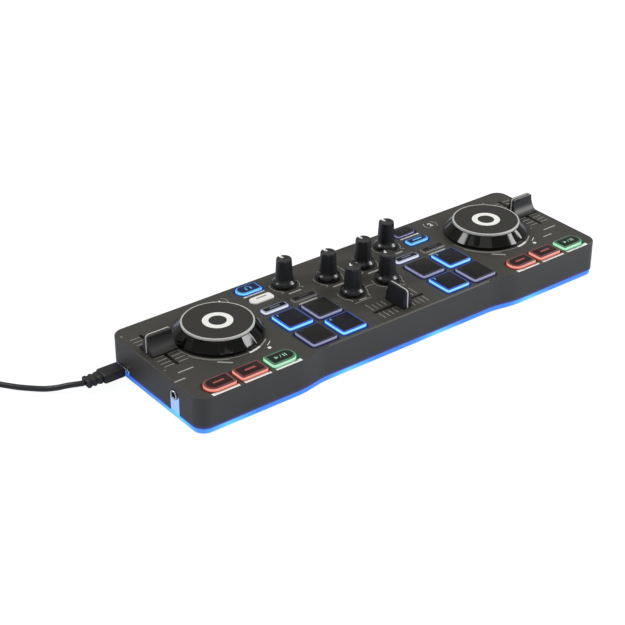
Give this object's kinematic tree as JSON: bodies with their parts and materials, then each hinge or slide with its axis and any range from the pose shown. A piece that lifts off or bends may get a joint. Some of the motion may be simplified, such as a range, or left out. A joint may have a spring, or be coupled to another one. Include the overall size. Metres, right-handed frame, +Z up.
{
  "type": "dj controller",
  "caption": "Slim two-deck DJ controller: jog wheels, pads and transport buttons on each deck round a centre mixer with knobs and a crossfader, light band under the case, cable.",
  "frame": {"origin": "centre of the controller's footprint, on the ground", "axes": "+X to the right along the case's length, +Y to the back, away from the player, +Z up"},
  "size_m": [0.4197, 0.1566, 0.0413],
  "materials": {
    "case_plastic": "fine matte texture, charcoal",
    "base_plastic": "matte, near black",
    "light_guide": "translucent, lit blue",
    "foot_rubber": "matte",
    "screw_steel": "zinc plated",
    "board": "solder mask",
    "switch_plastic": "matte",
    "component_plastic": "matte",
    "component_metal": "satin",
    "bush_plastic": "natural acetal",
    "jack_plastic": "matte",
    "socket_metal": "satin nickel",
    "plug_plastic": "moulded, satin",
    "cable_jacket": "smooth PVC",
    "jog_gloss": "high gloss black",
    "jog_disc": "matte paint with a bright turned edge",
    "knob_rubber": "soft satin",
    "shaft_metal": "turned",
    "cap_plastic": "satin",
    "lit_blue": "translucent rim, lit cyan blue, under a dark top",
    "lit_white": "translucent rim, lit white, under a dark top",
    "lit_red": "translucent rim, lit red, under a dark top",
    "lit_green": "translucent rim, lit green, under a dark top",
    "key_unlit": "translucent rim, unlit, under a dark top",
    "key_grey": "translucent, unlit, light grey"
  },
  "bodies": {
    "root": {"top_case": "case_plastic", "light_guide": "light_guide", "base_cover": "base_plastic", "feet": "foot_rubber", "case_screws": "screw_steel", "main_board": "board", "key_switches": "switch_plastic", "knob_potentiometers": "component_plastic", "slide_potentiometers": "component_metal", "jog_bearings": "bush_plastic", "phones_jack": "jack_plastic", "usb_socket": "socket_metal", "device_plug": "plug_plastic", "cable": "cable_jacket", "cable_coil": "cable_jacket", "computer_plug": "plug_plastic"},
    "jog_left": {"jog_wheel_left": "jog_gloss", "jog_disc_left": "jog_disc"},
    "jog_right": {"jog_wheel_right": "jog_gloss", "jog_disc_right": "jog_disc"},
    "tone_knob_left": {"tone_knob_left": "knob_rubber", "tone_knob_left_shaft": "shaft_metal"},
    "tone_knob_right": {"tone_knob_right": "knob_rubber", "tone_knob_right_shaft": "shaft_metal"},
    "master_knob": {"master_knob": "knob_rubber", "master_knob_shaft": "shaft_metal"},
    "phones_knob": {"phones_knob": "knob_rubber", "phones_knob_shaft": "shaft_metal"},
    "level_knob_left": {"level_knob_left": "knob_rubber", "level_knob_left_shaft": "shaft_metal"},
    "level_knob_right": {"level_knob_right": "knob_rubber", "level_knob_right_shaft": "shaft_metal"},
    "crossfader": {"crossfader_cap": "cap_plastic", "crossfader_lever": "shaft_metal"},
    "tempo_left": {"tempo_cap_left": "cap_plastic", "tempo_lever_left": "shaft_metal"},
    "tempo_right": {"tempo_cap_right": "cap_plastic", "tempo_lever_right": "shaft_metal"},
    "left_pad_1": {"left_pad_1": "lit_blue"},
    "left_pad_2": {"left_pad_2": "key_unlit"},
    "left_pad_3": {"left_pad_3": "key_unlit"},
    "left_pad_4": {"left_pad_4": "lit_blue"},
    "left_mode_1": {"left_mode_1": "lit_white"},
    "left_mode_2": {"left_mode_2": "key_unlit"},
    "left_listen": {"left_listen": "lit_blue"},
    "left_shift": {"left_shift": "key_grey"},
    "left_sync": {"left_sync": "lit_red"},
    "left_cue": {"left_cue": "lit_red"},
    "left_play": {"left_play": "lit_green"},
    "right_pad_1": {"right_pad_1": "key_unlit"},
    "right_pad_2": {"right_pad_2": "lit_blue"},
    "right_pad_3": {"right_pad_3": "lit_blue"},
    "right_pad_4": {"right_pad_4": "key_unlit"},
    "right_mode_1": {"right_mode_1": "lit_white"},
    "right_mode_2": {"right_mode_2": "key_unlit"},
    "right_listen": {"right_listen": "key_unlit"},
    "right_shift": {"right_shift": "lit_blue"},
    "right_sync": {"right_sync": "lit_red"},
    "right_cue": {"right_cue": "lit_red"},
    "right_play": {"right_play": "lit_green"}
  },
  "joints": [
    {"name": "jog_left_turn", "type": "hinge", "parent": "root", "child": "jog_left", "pos_m": [-0.1022, 0.0066, 0.0281], "axis": [0, 0, 1], "continuous": true},
    {"name": "jog_right_turn", "type": "hinge", "parent": "root", "child": "jog_right", "pos_m": [0.1022, 0.0066, 0.0281], "axis": [0, 0, 1], "continuous": true},
    {"name": "tone_knob_left_turn", "type": "hinge", "parent": "root", "child": "tone_knob_left", "pos_m": [-0.0392, 0.0288, 0.0324], "axis": [0, 0, 1], "range_deg": [-140, 140]},
    {"name": "tone_knob_right_turn", "type": "hinge", "parent": "root", "child": "tone_knob_right", "pos_m": [0.0392, 0.0288, 0.0324], "axis": [0, 0, 1], "range_deg": [-140, 140]},
    {"name": "master_knob_turn", "type": "hinge", "parent": "root", "child": "master_knob", "pos_m": [-0.0134, 0.0196, 0.0324], "axis": [0, 0, 1], "range_deg": [-140, 140]},
    {"name": "phones_knob_turn", "type": "hinge", "parent": "root", "child": "phones_knob", "pos_m": [0.0134, 0.0196, 0.0324], "axis": [0, 0, 1], "range_deg": [-140, 140]},
    {"name": "level_knob_left_turn", "type": "hinge", "parent": "root", "child": "level_knob_left", "pos_m": [-0.0131, -0.00343, 0.0324], "axis": [0, 0, 1], "range_deg": [-140, 140]},
    {"name": "level_knob_right_turn", "type": "hinge", "parent": "root", "child": "level_knob_right", "pos_m": [0.0131, -0.00343, 0.0324], "axis": [0, 0, 1], "range_deg": [-140, 140]},
    {"name": "crossfader_slide", "type": "slide", "parent": "root", "child": "crossfader", "axis": [1, 0, 0], "range_m": [-0.015, 0.015]},
    {"name": "tempo_left_slide", "type": "slide", "parent": "root", "child": "tempo_left", "axis": [0, 1, 0], "range_m": [-0.015, 0.015]},
    {"name": "tempo_right_slide", "type": "slide", "parent": "root", "child": "tempo_right", "axis": [0, 1, 0], "range_m": [-0.015, 0.015]},
    {"name": "left_pad_1_press", "type": "slide", "parent": "root", "child": "left_pad_1", "axis": [0, 0, -1], "range_m": [0, 0.0008], "stiffness_N_per_m": 300, "springref_m": -0.0005},
    {"name": "left_pad_2_press", "type": "slide", "parent": "root", "child": "left_pad_2", "axis": [0, 0, -1], "range_m": [0, 0.0008], "stiffness_N_per_m": 300, "springref_m": -0.0005},
    {"name": "left_pad_3_press", "type": "slide", "parent": "root", "child": "left_pad_3", "axis": [0, 0, -1], "range_m": [0, 0.0008], "stiffness_N_per_m": 300, "springref_m": -0.0005},
    {"name": "left_pad_4_press", "type": "slide", "parent": "root", "child": "left_pad_4", "axis": [0, 0, -1], "range_m": [0, 0.0008], "stiffness_N_per_m": 300, "springref_m": -0.0005},
    {"name": "left_mode_1_press", "type": "slide", "parent": "root", "child": "left_mode_1", "axis": [0, 0, -1], "range_m": [0, 0.0008], "stiffness_N_per_m": 300, "springref_m": -0.0005},
    {"name": "left_mode_2_press", "type": "slide", "parent": "root", "child": "left_mode_2", "axis": [0, 0, -1], "range_m": [0, 0.0008], "stiffness_N_per_m": 300, "springref_m": -0.0005},
    {"name": "left_listen_press", "type": "slide", "parent": "root", "child": "left_listen", "axis": [0, 0, -1], "range_m": [0, 0.0008], "stiffness_N_per_m": 300, "springref_m": -0.0005},
    {"name": "left_shift_press", "type": "slide", "parent": "root", "child": "left_shift", "axis": [0, 0, -1], "range_m": [0, 0.0008], "stiffness_N_per_m": 300, "springref_m": -0.0005},
    {"name": "left_sync_press", "type": "slide", "parent": "root", "child": "left_sync", "axis": [0, 0, -1], "range_m": [0, 0.0008], "stiffness_N_per_m": 300, "springref_m": -0.0005},
    {"name": "left_cue_press", "type": "slide", "parent": "root", "child": "left_cue", "axis": [0, 0, -1], "range_m": [0, 0.0008], "stiffness_N_per_m": 300, "springref_m": -0.0005},
    {"name": "left_play_press", "type": "slide", "parent": "root", "child": "left_play", "axis": [0, 0, -1], "range_m": [0, 0.0008], "stiffness_N_per_m": 300, "springref_m": -0.0005},
    {"name": "right_pad_1_press", "type": "slide", "parent": "root", "child": "right_pad_1", "axis": [0, 0, -1], "range_m": [0, 0.0008], "stiffness_N_per_m": 300, "springref_m": -0.0005},
    {"name": "right_pad_2_press", "type": "slide", "parent": "root", "child": "right_pad_2", "axis": [0, 0, -1], "range_m": [0, 0.0008], "stiffness_N_per_m": 300, "springref_m": -0.0005},
    {"name": "right_pad_3_press", "type": "slide", "parent": "root", "child": "right_pad_3", "axis": [0, 0, -1], "range_m": [0, 0.0008], "stiffness_N_per_m": 300, "springref_m": -0.0005},
    {"name": "right_pad_4_press", "type": "slide", "parent": "root", "child": "right_pad_4", "axis": [0, 0, -1], "range_m": [0, 0.0008], "stiffness_N_per_m": 300, "springref_m": -0.0005},
    {"name": "right_mode_1_press", "type": "slide", "parent": "root", "child": "right_mode_1", "axis": [0, 0, -1], "range_m": [0, 0.0008], "stiffness_N_per_m": 300, "springref_m": -0.0005},
    {"name": "right_mode_2_press", "type": "slide", "parent": "root", "child": "right_mode_2", "axis": [0, 0, -1], "range_m": [0, 0.0008], "stiffness_N_per_m": 300, "springref_m": -0.0005},
    {"name": "right_listen_press", "type": "slide", "parent": "root", "child": "right_listen", "axis": [0, 0, -1], "range_m": [0, 0.0008], "stiffness_N_per_m": 300, "springref_m": -0.0005},
    {"name": "right_shift_press", "type": "slide", "parent": "root", "child": "right_shift", "axis": [0, 0, -1], "range_m": [0, 0.0008], "stiffness_N_per_m": 300, "springref_m": -0.0005},
    {"name": "right_sync_press", "type": "slide", "parent": "root", "child": "right_sync", "axis": [0, 0, -1], "range_m": [0, 0.0008], "stiffness_N_per_m": 300, "springref_m": -0.0005},
    {"name": "right_cue_press", "type": "slide", "parent": "root", "child": "right_cue", "axis": [0, 0, -1], "range_m": [0, 0.0008], "stiffness_N_per_m": 300, "springref_m": -0.0005},
    {"name": "right_play_press", "type": "slide", "parent": "root", "child": "right_play", "axis": [0, 0, -1], "range_m": [0, 0.0008], "stiffness_N_per_m": 300, "springref_m": -0.0005}
  ]
}
